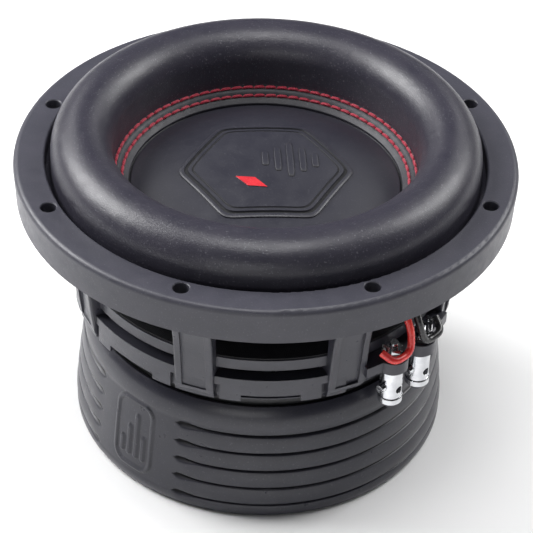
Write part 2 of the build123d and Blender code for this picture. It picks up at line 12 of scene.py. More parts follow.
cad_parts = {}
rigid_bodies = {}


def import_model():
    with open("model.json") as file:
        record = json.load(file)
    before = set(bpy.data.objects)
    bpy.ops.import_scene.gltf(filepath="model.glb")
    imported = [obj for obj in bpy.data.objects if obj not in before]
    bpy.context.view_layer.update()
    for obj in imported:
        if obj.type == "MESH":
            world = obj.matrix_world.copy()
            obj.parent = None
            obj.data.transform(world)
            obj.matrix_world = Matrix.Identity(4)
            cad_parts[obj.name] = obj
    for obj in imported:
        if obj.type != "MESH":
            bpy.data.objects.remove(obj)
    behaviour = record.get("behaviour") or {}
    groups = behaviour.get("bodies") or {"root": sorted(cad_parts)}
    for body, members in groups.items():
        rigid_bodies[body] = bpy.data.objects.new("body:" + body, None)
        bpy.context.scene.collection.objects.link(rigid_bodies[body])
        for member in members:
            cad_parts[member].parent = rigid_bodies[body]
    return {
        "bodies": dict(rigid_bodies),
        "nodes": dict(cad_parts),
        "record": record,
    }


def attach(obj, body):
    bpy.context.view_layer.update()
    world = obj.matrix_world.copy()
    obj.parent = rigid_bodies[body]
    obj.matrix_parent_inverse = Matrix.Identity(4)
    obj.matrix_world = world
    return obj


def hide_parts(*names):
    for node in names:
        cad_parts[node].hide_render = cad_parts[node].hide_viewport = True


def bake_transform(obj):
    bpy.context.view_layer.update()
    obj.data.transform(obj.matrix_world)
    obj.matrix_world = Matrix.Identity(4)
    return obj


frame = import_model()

MM = 0.001
PATTERN = "pattern"
# Painted shade: each new piece carries a per-point mask that darkens its base colour in grooves and recesses,
# and dulls its gloss there.
HOLLOW_SHADE = "hollow"
HOLLOW_SHADE_DARKENING = 0.9
HOLLOW_DULLING = 0.35
Colour = tuple[float, float, float]
Spot = tuple[float, float, float]
Array = np.ndarray
Piece = bpy.types.Object
log = logging.getLogger("driver")


class Place(Enum):
    """A pair of terminals, by its azimuth in degrees."""

    FRONT = -47.0
    REAR = 133.0


class Hand(Enum):
    """A terminal of a pair, by the side that it sits on."""

    LEFT = -1
    RIGHT = 1


# ---- node graphs and finishes ----


class Graph:
    """A material's node tree, built socket by socket on object coordinates in metres."""

    def __init__(self, name: str) -> None:
        """Makes an empty tree with one principled shader joined to the output."""
        self.material = bpy.data.materials.new(name)
        self.material.use_nodes = True
        self.tree = self.material.node_tree
        self.tree.nodes.clear()
        output = self.tree.nodes.new("ShaderNodeOutputMaterial")
        self.shader = self.tree.nodes.new("ShaderNodeBsdfPrincipled")
        self.tree.links.new(self.shader.outputs["BSDF"], output.inputs["Surface"])
        self.position = self.tree.nodes.new("ShaderNodeTexCoord").outputs["Object"]

    def node(self, kind: str, inputs: dict, **settings) -> bpy.types.Node:
        """Adds a node.

        Args:
            kind: the node's type name after ShaderNode.
            inputs: socket name or number to a constant or to another node's output.
            **settings: the node's own properties.

        Returns:
            The new node.
        """
        node = self.tree.nodes.new("ShaderNode" + kind)
        for key, value in settings.items():
            setattr(node, key, value)
        self.feed(node, inputs)
        return node

    def feed(self, node: bpy.types.Node, inputs: dict) -> None:
        """Links each input that is given an output, and sets each that is given a constant."""
        for key, value in inputs.items():
            if isinstance(value, bpy.types.NodeSocket):
                self.tree.links.new(value, node.inputs[key])
            else:
                node.inputs[key].default_value = value

    def noise(self, size_mm: float, detail: float = 3.0, vector=None):
        """A noise value whose features are about size_mm across."""
        source = self.position if vector is None else vector
        inputs = {"Vector": source, "Scale": 1.0 / (size_mm * MM), "Detail": detail, "Roughness": 0.6}
        return self.node("TexNoise", inputs).outputs["Fac"]

    def maths(self, operation: str, first, second=0.0, third=0.5):
        """One step of arithmetic on two or three values."""
        return self.node("Math", {0: first, 1: second, 2: third}, operation=operation).outputs[0]

    def span(self, value, low: float, high: float, to_low: float = 0.0, to_high: float = 1.0):
        """The value moved from the range low..high to the range to_low..to_high, clamped."""
        inputs = {0: value, 1: low, 2: high, 3: to_low, 4: to_high}
        return self.node("MapRange", inputs, clamp=True).outputs[0]

    def mix(self, share, first, second):
        """A colour between two colours."""
        inputs = {0: share, 6: opaque(first), 7: opaque(second)}
        return self.node("Mix", inputs, data_type="RGBA").outputs[2]

    def wave(self, value, period_mm: float):
        """A smooth wave from 0 to 1 along a length in metres."""
        angle = self.maths("MULTIPLY", value, 2 * math.pi / (period_mm * MM))
        return self.maths("MULTIPLY_ADD", self.maths("SINE", angle), 0.5, 0.5)

    def axes(self, vector) -> tuple:
        """The three components of a vector."""
        return tuple(self.node("SeparateXYZ", {0: vector}).outputs)

    def pattern(self) -> tuple:
        """The piece's own lengths along and across its surface, in metres."""
        source = self.node("Attribute", {}, attribute_name=PATTERN)
        return self.axes(source.outputs["Vector"])

    def hollow(self):
        """How much painted shade the piece gives its skin in the hollows, 0 to 1."""
        return self.node("Attribute", {}, attribute_name=HOLLOW_SHADE).outputs["Fac"]

    def shaded(self, colour):
        """The colour, darkened by painted shade in the hollows."""
        return self.mix(self.maths("MULTIPLY", self.hollow(), HOLLOW_SHADE_DARKENING), colour, grey(0.003, 0.001))


def opaque(colour):
    """The colour with full alpha, or the socket as it is."""
    return colour if isinstance(colour, bpy.types.NodeSocket) else (*colour, 1.0)


def grey(tone: float, blue: float = 0.0) -> Colour:
    """A grey with a little extra blue."""
    return tone, tone, tone + blue


@dataclass(frozen=True)
class Finish:
    """A surface whose tone and gloss are broken up by noise, over a fine relief.

    The tone drifts between two colours in patches; the gloss varies with a second noise.
    """

    name: str
    tone: Colour
    second: Colour
    roughness: float = 0.5
    spread: float = 0.08
    metallic: float = 0.0
    patch_mm: float = 9.0
    grain_mm: float = 0.5
    depth_mm: float = 0.02
    edge_mm: float = 0.0
    specular: float = 0.5
    sheen: float = 0.0

    def relief(self, graph: Graph):
        """The height that the bump follows, from 0 to 1."""
        return graph.noise(self.grain_mm)

    def tint(self, graph: Graph):
        """The base colour, drifting between the two tones."""
        share = graph.span(graph.noise(self.patch_mm, 5.0), 0.35, 0.68)
        return graph.mix(share, self.tone, self.second)

    def material(self) -> bpy.types.Material:
        """Builds the material.

        Returns:
            A material with linked colour, gloss and relief.
        """
        graph = Graph(self.name)
        gloss = graph.span(graph.noise(self.patch_mm * 0.37, 6.0), 0.3, 0.7,
                           self.roughness - self.spread, self.roughness + self.spread)
        bump = graph.node("Bump", {"Height": self.relief(graph), "Strength": 1.0,
                                   "Distance": self.depth_mm * MM})
        if self.edge_mm > 0:
            bevel = graph.node("Bevel", {"Radius": self.edge_mm * MM}, samples=4)
            graph.feed(bump, {"Normal": bevel.outputs[0]})
        graph.feed(graph.shader, {
            # the base colour carries the piece's painted shade in its hollows
            "Base Color": graph.shaded(self.tint(graph)),
            "Normal": bump.outputs[0],
            "Roughness": graph.maths("MULTIPLY_ADD", graph.hollow(), HOLLOW_DULLING, gloss),
            "Metallic": self.metallic,
            "Specular IOR Level": self.specular,
            "Sheen Weight": self.sheen,
        })
        return graph.material


@dataclass(frozen=True)
class SpeckledRubber(Finish):
    """Rubber with a fine pebbled skin and scattered pale specks of bloom."""

    grain_mm: float = 0.8
    depth_mm: float = 0.03
    speck: Colour = (0.2, 0.2, 0.21)
    speck_mm: float = 0.8

    def tint(self, graph: Graph):
        """The drifting tone with pale specks where a fine noise is near its top."""
        specks = graph.span(graph.noise(self.speck_mm, 1.0), 0.63, 0.78, 0.0, 0.55)
        return graph.mix(specks, super().tint(graph), self.speck)

    def relief(self, graph: Graph):
        """Fine pebbles on a slower undulation."""
        fine = graph.noise(self.grain_mm, 2.0)
        return graph.maths("ADD", fine, graph.noise(self.grain_mm * 9, 1.0))


@dataclass(frozen=True)
class CastPaint(Finish):
    """Powder coat over a casting: orange peel with a few pits."""

    def relief(self, graph: Graph):
        """Orange peel less a few small pits."""
        pits = graph.span(graph.noise(self.grain_mm * 2.3, 0.0), 0.22, 0.32, -1.2, 0.0)
        return graph.maths("ADD", graph.noise(self.grain_mm, 1.0), pits)


@dataclass(frozen=True)
class Ridged(Finish):
    """A surface of fine ridges a pitch apart, with painted shade in the second tone where it lies low between
    them.
    """

    pitch_mm: float = 0.8
    low: float = 0.0
    high: float = 1.0

    def tint(self, graph: Graph):
        """Painted shade: darker between the ridges."""
        return graph.mix(graph.span(self.relief(graph), self.low, self.high), self.second, self.tone)


@dataclass(frozen=True)
class WovenCloth(Ridged):
    """Cloth whose warp and weft are two crossed waves of the piece's own lengths."""

    def relief(self, graph: Graph):
        """Threads that pass over and under each other."""
        along, across, _ = graph.pattern()
        return graph.maths("MAXIMUM", graph.wave(along, self.pitch_mm), graph.wave(across, self.pitch_mm))


@dataclass(frozen=True)
class TwistedThread(Ridged):
    """Thread laid up from strands: one wave that runs slantwise round it."""

    def relief(self, graph: Graph):
        """Ridges at a slant to the thread."""
        along, across, _ = graph.pattern()
        return graph.wave(graph.maths("ADD", along, across), self.pitch_mm)


@dataclass(frozen=True)
class BraidedWire(Ridged):
    """A tubular braid: two slanted waves of opposite hand, the higher one on top."""

    def relief(self, graph: Graph):
        """Crossed ridges of the braid's two sets of strands."""
        along, across, _ = graph.pattern()
        one = graph.wave(graph.maths("ADD", along, across), self.pitch_mm)
        two = graph.wave(graph.maths("SUBTRACT", along, across), self.pitch_mm)
        return graph.maths("MAXIMUM", one, two)


@dataclass(frozen=True)
class WireTurns(Ridged):
    """A close winding about the upright axis: one ridge for each turn of wire."""

    def relief(self, graph: Graph):
        """One ridge for each turn."""
        return graph.wave(graph.axes(graph.position)[2], self.pitch_mm)


@dataclass(frozen=True)
class TurnedMetal(Finish):
    """Metal with fine tool marks: noise stretched along the marks, flat in height."""

    metallic: float = 1.0
    grain_mm: float = 0.3
    depth_mm: float = 0.01

    def relief(self, graph: Graph):
        """Marks that are long in the plan and short in height."""
        stretch = graph.node("VectorMath", {0: graph.position, 1: (0.12, 0.12, 1.0)}, operation="MULTIPLY")
        return graph.noise(self.grain_mm, 4.0, stretch.outputs[0])


def finishes() -> dict[str, Finish]:
    """The finish of every material slot.

    Returns:
        Slot name to finish.
    """
    made = (
        CastPaint("cast_basket", grey(0.046, 0.014), grey(0.036, 0.012), 0.34, 0.07,
                  grain_mm=0.55, depth_mm=0.035, edge_mm=0.5, specular=0.55),
        SpeckledRubber("gasket_rubber", (0.046, 0.045, 0.060), grey(0.038, 0.013), 0.43, 0.06,
                       patch_mm=14.0, depth_mm=0.04, speck=grey(0.11, 0.015)),
        SpeckledRubber("surround_rubber", (0.032, 0.030, 0.042), (0.024, 0.023, 0.034), 0.36, 0.05,
                       patch_mm=16.0, grain_mm=0.6, depth_mm=0.10, speck=grey(0.16, 0.02)),
        SpeckledRubber("cap_moulding", grey(0.022, 0.009), grey(0.017, 0.009), 0.42, 0.06,
                       patch_mm=22.0, speck=grey(0.07, 0.01)),
        SpeckledRubber("boot_rubber", grey(0.026, 0.011), grey(0.020, 0.010), 0.32, 0.05,
                       patch_mm=18.0, grain_mm=0.9, speck=grey(0.08, 0.015), speck_mm=0.9),
        WovenCloth("spider_cloth", grey(0.024, 0.004), grey(0.008, 0.002), 0.60, 0.06,
                   depth_mm=0.12, low=0.2, high=0.9),
        TwistedThread("red_thread", (0.50, 0.012, 0.050), (0.20, 0.005, 0.018), 0.55, 0.06,
                      depth_mm=0.12, sheen=0.2, pitch_mm=0.75),
        BraidedWire("tinsel_braid", (0.70, 0.68, 0.66), (0.20, 0.19, 0.18), 0.34,
                    metallic=1.0, depth_mm=0.15, pitch_mm=0.9, low=0.3, high=0.9),
        WireTurns("copper_winding", (0.62, 0.27, 0.11), (0.20, 0.07, 0.03), 0.30, 0.06,
                  metallic=1.0, depth_mm=0.2, pitch_mm=0.65),
        Finish("cone_fibre", grey(0.024, 0.004), grey(0.015, 0.003), 0.60,
               patch_mm=4.0, grain_mm=0.8, depth_mm=0.08),
        Finish("red_enamel", (0.55, 0.035, 0.045), (0.46, 0.025, 0.035), 0.24, 0.05,
               patch_mm=3.0, grain_mm=0.5, depth_mm=0.008, edge_mm=0.2),
        Finish("adhesive", grey(0.022, 0.002), grey(0.034, 0.002), 0.25, 0.1,
               grain_mm=2.2, depth_mm=0.12, edge_mm=0.5),
        Finish("ferrite", grey(0.065, 0.003), grey(0.038, 0.002), 0.66, 0.1,
               patch_mm=3.0, grain_mm=0.4, depth_mm=0.05, edge_mm=0.5),
        Finish("bush_plastic", grey(0.030, 0.002), grey(0.020, 0.002), 0.48, grain_mm=0.3, edge_mm=0.3),
        Finish("red_sleeve", (0.86, 0.060, 0.045), (0.68, 0.030, 0.035), 0.24, 0.07,
               patch_mm=5.0, grain_mm=1.2, depth_mm=0.03, specular=0.6),
        Finish("black_sleeve", grey(0.026, 0.002), grey(0.018, 0.002), 0.28, 0.07,
               patch_mm=5.0, grain_mm=1.2, depth_mm=0.03, specular=0.6),
        TurnedMetal("former_sheet", grey(0.07, 0.005), grey(0.045, 0.005), 0.36, metallic=0.7),
        TurnedMetal("brass_eyelet", (0.68, 0.50, 0.22), (0.52, 0.37, 0.15), 0.28, grain_mm=0.2, edge_mm=0.2),
        TurnedMetal("black_steel", grey(0.030, 0.003), grey(0.020, 0.002), 0.38, 0.09,
                    metallic=0.4, depth_mm=0.015, edge_mm=0.4),
        TurnedMetal("copper_sleeve", (0.72, 0.36, 0.20), (0.50, 0.22, 0.11), 0.32,
                    grain_mm=0.25, depth_mm=0.012),
        TurnedMetal("screen_steel", grey(0.06), grey(0.035), 0.42, metallic=0.6),
        TurnedMetal("black_screws", grey(0.045, 0.005), grey(0.028, 0.004), 0.32,
                    metallic=0.8, grain_mm=0.25, depth_mm=0.012, edge_mm=0.25),
        TurnedMetal("terminal_chrome", (0.80, 0.81, 0.83), (0.62, 0.63, 0.66), 0.13, 0.05,
                    patch_mm=5.0, depth_mm=0.003, edge_mm=0.35),
        TurnedMetal("button_steel", grey(0.10, 0.01), grey(0.06, 0.008), 0.34,
                    metallic=0.9, depth_mm=0.008, edge_mm=0.3),
        TurnedMetal("tinned_tab", grey(0.74, 0.01), grey(0.58, 0.02), 0.28, 0.09,
                    patch_mm=2.5, depth_mm=0.012, edge_mm=0.2),
        TurnedMetal("spring_steel", grey(0.55, 0.02), grey(0.40, 0.02), 0.26, grain_mm=0.2, depth_mm=0.008),
    )
    return {finish.name: finish for finish in made}


@dataclass
class Finisher:
    """Makes each slot's material once and hands it out."""

    made: dict[str, bpy.types.Material] = field(default_factory=dict)

    def get(self, slot: str) -> bpy.types.Material:
        """The slot's material, made at its first use."""
        if slot not in self.made:
            self.made[slot] = finishes()[slot].material()
        return self.made[slot]

    def dress(self, piece: Piece, slot: str) -> None:
        """Gives a new piece its finish and names its slot."""
        piece.data.materials.append(self.get(slot))

    def dress_frame(self) -> None:
        """Puts each slot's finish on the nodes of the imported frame."""
        for part in frame["record"]["subparts"]:
            mesh = frame["nodes"][part["node"]].data
            for index in range(len(mesh.materials)):
                mesh.materials[index] = self.get(part["material_slot"])
            log.info("finish %s on %s", part["material_slot"], part["node"])


# ---- surfaces ----


@dataclass
class Skin:
    """A two-parameter grid of points in millimetres.

    Attributes:
        points: rows by columns by three.
        wrap_rows: the last row joins the first.
        wrap_columns: the last column joins the first.
        hollow: how much painted shade each point gets in a hollow, 0 to 1.
    """

    points: Array
    wrap_rows: bool = False
    wrap_columns: bool = True
    hollow: Array | float = 0.0

    def lengths(self) -> Array:
        """Each point's distance along its column and round its row, for the finishes' patterns."""
        down = np.linalg.norm(np.diff(self.points, axis=0), axis=2)
        across = np.linalg.norm(np.diff(self.points, axis=1), axis=2)
        rows, columns = self.points.shape[:2]
        result = np.zeros((rows, columns, 3))
        result[1:, :, 0] = np.cumsum(down.mean(axis=1))[:, None]
        widest = across.sum(axis=1).max()
        result[:, :, 1] = np.linspace(0.0, widest, columns)[None, :]
        return result

    def faces(self) -> Array:
        """The quads between neighbouring points, turned so that a closed skin faces outward."""
        rows, columns = self.points.shape[:2]
        index = np.arange(rows * columns).reshape(rows, columns)
        below = np.roll(index, -1, axis=0)
        quads = np.stack([index, np.roll(index, -1, axis=1), np.roll(below, -1, axis=1), below], axis=2)
        quads = quads[: rows if self.wrap_rows else rows - 1, : columns if self.wrap_columns else columns - 1]
        quads = quads.reshape(-1, 4)
        flat = self.points.reshape(-1, 3)
        a, b, c, d = (flat[quads[:, k]] for k in range(4))
        volume = np.einsum("ij,ij->i", a, np.cross(b, c) + np.cross(c, d)).sum()
        return quads[:, ::-1] if volume < 0 else quads


def make_piece(name: str, skins: list[Skin], crease_deg: float = 40.0) -> Piece:
    """Makes one mesh object, at the origin and in metres, from one or more skins.

    Args:
        name: the object's name.
        skins: the skins that it is made of.
        crease_deg: the angle above which an edge stays sharp.

    Returns:
        The new object.
    """
    points = np.concatenate([skin.points.reshape(-1, 3) for skin in skins])
    offsets = np.cumsum([0] + [skin.points[:, :, 0].size for skin in skins[:-1]])
    quads = np.concatenate([skin.faces() + offset for skin, offset in zip(skins, offsets)])
    lengths = np.concatenate([skin.lengths().reshape(-1, 3) for skin in skins])
    mesh = bpy.data.meshes.new(name)
    mesh.from_pydata((points * MM).tolist(), [], quads.tolist())
    pattern = mesh.attributes.new(PATTERN, "FLOAT_VECTOR", "POINT")
    pattern.data.foreach_set("vector", (lengths * MM).astype(np.float32).ravel())
    # painted shade per point, kept as a mesh attribute for the finishes
    point_shades = np.concatenate([(skin.hollow + 0 * skin.points[:, :, 0]).ravel() for skin in skins])
    hollow = mesh.attributes.new(HOLLOW_SHADE, "FLOAT", "POINT")
    hollow.data.foreach_set("value", point_shades.astype(np.float32))
    shape = bmesh.new()
    shape.from_mesh(mesh)
    bmesh.ops.remove_doubles(shape, verts=shape.verts, dist=1e-7)
    bmesh.ops.dissolve_degenerate(shape, edges=shape.edges, dist=1e-7)
    shape.to_mesh(mesh)
    shape.free()
    mesh.shade_smooth()
    mesh.set_sharp_from_angle(angle=math.radians(crease_deg))
    piece = bpy.data.objects.new(name, mesh)
    bpy.context.scene.collection.objects.link(piece)
    log.info("piece %s with %d faces", name, len(mesh.polygons))
    return piece


def points_of(piece: Piece) -> Array:
    """The piece's points in millimetres, one row each."""
    flat = np.zeros(len(piece.data.vertices) * 3, dtype=np.float32)
    piece.data.vertices.foreach_get("co", flat)
    return flat.reshape(-1, 3).astype(float) / MM


def radii_of(piece: Piece) -> Array:
    """The distance of each of the piece's points from the driver's axis, in millimetres."""
    return np.hypot(*points_of(piece)[:, :2].T)


def bend_between(piece: Piece, moving: str) -> None:
    """Bakes the piece's placement into its mesh.

    Args:
        piece: the piece.
        moving: not used.
    """
    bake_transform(piece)


def ease(values: Array | float) -> Array:
    """A smooth step: 0 up to 0, 1 from 1, level at both ends."""
    share = np.clip(values, 0.0, 1.0)
    return share * share * (3.0 - 2.0 * share)


def turn(points: Array, azimuth: float) -> Array:
    """The points turned about the driver's axis by an azimuth in degrees."""
    return points @ np.array(Matrix.Rotation(math.radians(azimuth), 3, "Z")).T


def full_turn(steps: int) -> Array:
    """Angles evenly round a circle, the first not repeated."""
    return np.linspace(0.0, 2 * math.pi, steps, endpoint=False)


def rounded(corners: list[tuple], reach: float | list[float], closed: bool, steps: int = 8) -> Array:
    """A line through corners, each eased by a parabola that leaves its two runs at a given reach.

    Args:
        corners: the corners, in two or three dimensions.
        reach: how far from each corner the curve starts; at most 0.45 of a run is used.
        closed: the last corner joins the first.
        steps: points on each curve.

    Returns:
        The points of the line.
    """
    spots = np.array(corners, dtype=float)
    reaches = np.broadcast_to(np.array(reach, dtype=float), (len(spots),))
    share = np.linspace(0.0, 1.0, steps)[:, None]
    result = []
    for k, here in enumerate(spots):
        ends = not closed and k in (0, len(spots) - 1)
        if ends or reaches[k] <= 0:
            result.append(here[None, :])
            continue
        back, ahead = spots[k - 1] - here, spots[(k + 1) % len(spots)] - here
        limit = min(reaches[k], 0.45 * np.linalg.norm(back), 0.45 * np.linalg.norm(ahead))
        start = here + back / np.linalg.norm(back) * limit
        stop = here + ahead / np.linalg.norm(ahead) * limit
        result.append((1 - share) ** 2 * start + 2 * share * (1 - share) * here + share**2 * stop)
    return np.concatenate(result)


def arc_through(first: tuple, middle: tuple, last: tuple, steps: int) -> Array:
    """Points on the circle through three points of a plane, from the first to the last."""
    a, b, c = (np.array(p, dtype=float) for p in (first, middle, last))
    sides = np.array([b - a, c - a]) * 2
    centre = np.linalg.solve(sides, np.array([b @ b - a @ a, c @ c - a @ a]))
    angles = np.unwrap([math.atan2(*(p - centre)[::-1]) for p in (a, b, c)])
    sweep = np.linspace(angles[0], angles[2], steps)
    return centre + np.linalg.norm(a - centre) * np.stack([np.cos(sweep), np.sin(sweep)], axis=1)


def revolved(profile: Array, steps: int) -> Array:
    """The profile of radius and height swept round the axis: x = r cos a, y = r sin a."""
    angle = full_turn(steps)
    radius, height = profile[:, 0, None], profile[:, 1, None]
    return np.stack([radius * np.cos(angle), radius * np.sin(angle), height + 0 * angle], axis=2)


def tube_along(path: Array, radius: Array | float, steps: int) -> Array:
    """A round bar along a path, closed to a point at both ends.

    The frame is carried along the path without twist: each step's normal is the last one less its
    part along the new tangent.

    Args:
        path: the centre line's points.
        radius: one radius, or one for each point.
        steps: points round the bar.

    Returns:
        Rows of points, one ring for each point of the path and one point at each end.
    """
    tangents = np.gradient(path, axis=0)
    tangents /= np.linalg.norm(tangents, axis=1)[:, None]
    normal = np.cross(tangents[0], [0.31, 0.27, 0.91])
    normals = []
    for tangent in tangents:
        normal = normal - tangent * (normal @ tangent)
        normal = normal / np.linalg.norm(normal)
        normals.append(normal)
    normals = np.array(normals)
    sides = np.cross(tangents, normals)
    angle = full_turn(steps)[None, :, None]
    sizes = np.broadcast_to(np.array(radius, dtype=float), (len(path),))[:, None, None]
    spokes = np.cos(angle) * normals[:, None, :] + np.sin(angle) * sides[:, None, :]
    rings = path[:, None, :] + sizes * spokes
    cap = np.repeat(path[[0, -1]][:, None, :], steps, axis=1)
    return np.concatenate([cap[:1], rings, cap[1:]])


def band(distance: Array, half_width: float, soft: float) -> Array:
    """1 within half_width of a line and 0 beyond it, with a soft edge."""
    return 1.0 - ease((distance - half_width) / soft + 0.5)


def rounded_box_distance(x: Array, y: Array, half_x: float, half_y: float, corner: float):
    """The distance to a rounded rectangle's outline, negative inside it."""
    dx, dy = np.abs(x) - half_x + corner, np.abs(y) - half_y + corner
    outside = np.hypot(np.maximum(dx, 0), np.maximum(dy, 0))
    return outside + np.minimum(np.maximum(dx, dy), 0) - corner


# ---- moving assembly and suspension ----


@dataclass(frozen=True)
class ConeLine:
    """The cone's upper face as a straight line of radius and height."""

    slope: float = 0.78
    cap_radius: float = 60.4
    height_at_cap: float = 123.5

    def top(self, radius):
        """The height of the cone's upper face at a radius."""
        return self.height_at_cap + self.slope * (radius - self.cap_radius)


CONE = ConeLine()


@dataclass
class Surround:
    """The tall half-roll surround: a foot on the flange, two upright walls under a half circle, and a
    sloping inner flange that lies on the cone."""

    centre_radius: float = 81.9
    centre_height: float = 143.4
    roll: float = 13.6
    wall: float = 2.0
    foot_radius: float = 99.2
    foot_height: float = 131.0
    flange_thickness: float = 1.3
    flange_gap: float = 0.2
    inner_radius: float = 61.2
    steps: int = 480
    stitch_rows: tuple = ((67.4, 80), (64.15, 76))
    puff: float = 0.3
    pucker_depth: float = 0.45
    shade: float = 0.5

    def arc(self, radius: float, steps: int) -> list[tuple]:
        """The roll's half circle at a radius from its centre, outer end first."""
        return [(self.centre_radius + radius * math.cos(a), self.centre_height + radius * math.sin(a))
                for a in np.linspace(0, math.pi, steps)]

    def profile(self) -> Array:
        """The closed section: outer skin from the foot in, then the under skin back."""
        outer, inner = self.centre_radius + self.roll, self.centre_radius - self.roll
        lift = self.flange_gap + self.flange_thickness
        inside = inner + self.wall
        top = CONE.top
        foot_top = self.foot_height + self.wall
        plan = [((self.foot_radius, self.foot_height), 0.2), ((self.foot_radius, foot_top), 0.6),
                ((outer, foot_top), 1.6)]
        plan += [(spot, 0.0) for spot in self.arc(self.roll, 56)]
        plan += [((inner, top(inner) + lift), 1.2)]
        plan += [((r, top(r) + lift), 0.0) for r in np.linspace(inner - 0.9, self.inner_radius + 0.5, 20)]
        plan += [((self.inner_radius, top(self.inner_radius) + lift), 0.3),
                 ((self.inner_radius, top(self.inner_radius) + self.flange_gap), 0.3),
                 ((inside, top(inside) + self.flange_gap), 0.5)]
        plan += [(spot, 0.0) for spot in self.arc(self.roll - self.wall, 36)[::-1]]
        plan += [((outer - self.wall, self.foot_height), 0.4)]
        return rounded([spot for spot, _ in plan], [reach for _, reach in plan], True, 7)

    def quilt(self, points: Array) -> tuple[Array, Array]:
        """How far the inner flange rises, and how shaded it is.

        The rubber puffs up between the two rows and puckers where each stitch goes in: a narrow bell
        across the row times a peaked cosine along it.
        """
        radius = np.hypot(points[:, :, 0], points[:, :, 1])
        angle = np.arctan2(points[:, :, 1], points[:, :, 0])
        upper = CONE.top(radius) + self.flange_gap + self.flange_thickness
        on_flange = (np.abs(points[:, :, 2] - upper) < 0.3) & (radius < self.centre_radius - self.roll - 0.1)
        between = sum(row for row, _ in self.stitch_rows) / len(self.stitch_rows)
        rise = self.puff * np.exp(-(((radius - between) / 0.9) ** 2))
        pucker = np.zeros_like(rise)
        for row, count in self.stitch_rows:
            along = (0.5 - 0.5 * np.cos(count * angle)) ** 3
            pucker += np.exp(-(((radius - row) / 0.75) ** 2)) * (0.35 + 0.65 * along)
        # painted shade over the inner flange under the roll, deeper at each stitch's pucker
        return on_flange * (rise - self.pucker_depth * pucker), on_flange * self.shade * (1 + pucker)

    def build(self, finisher: Finisher) -> None:
        """Builds the surround."""
        points = revolved(self.profile(), self.steps)
        rise, hollow = self.quilt(points)
        points[:, :, 2] += rise
        piece = make_piece("surround_roll", [Skin(points, wrap_rows=True, hollow=hollow)])
        half = self.roll - self.wall
        weights = ease((self.centre_radius + half - radii_of(piece)) / (2 * half))
        bend_between(piece, "diaphragm")
        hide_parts("surround")
        finisher.dress(piece, "surround_rubber")


@dataclass
class StitchRow:
    """A row of separate stitches on the surround's inner flange, each a short thread whose ends dive
    into the rubber."""

    node: str
    radius: float
    count: int
    half_length: float = 2.3
    thread: float = 0.72
    flange_lift: float = 1.5
    proud: float = 0.28
    dive: float = 0.75

    def stitch(self, azimuth: float, lean: float) -> Skin:
        """One stitch: a bar along the row whose middle stands proud and whose ends go under."""
        share = np.linspace(-1.0, 1.0, 13)
        rise = self.proud - self.dive * share**4
        x = self.radius - 0.05 * share
        y = self.half_length * share
        z = CONE.top(x) + self.flange_lift + rise
        path = np.stack([x - CONE.slope * rise * 0.4 + lean * share, y, z], axis=1)
        return Skin(turn(tube_along(path, self.thread * (1 - 0.3 * share**6), 10), azimuth))

    def build(self, finisher: Finisher) -> None:
        """Builds the row and hangs it on the moving body."""
        chance = np.random.default_rng(7)
        skins = [self.stitch(360.0 / self.count * k, chance.normal(0, 0.05)) for k in range(self.count)]
        piece = make_piece(self.node + "_thread", skins, 60.0)
        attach(piece, "diaphragm")
        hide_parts(self.node)
        finisher.dress(piece, "red_thread")


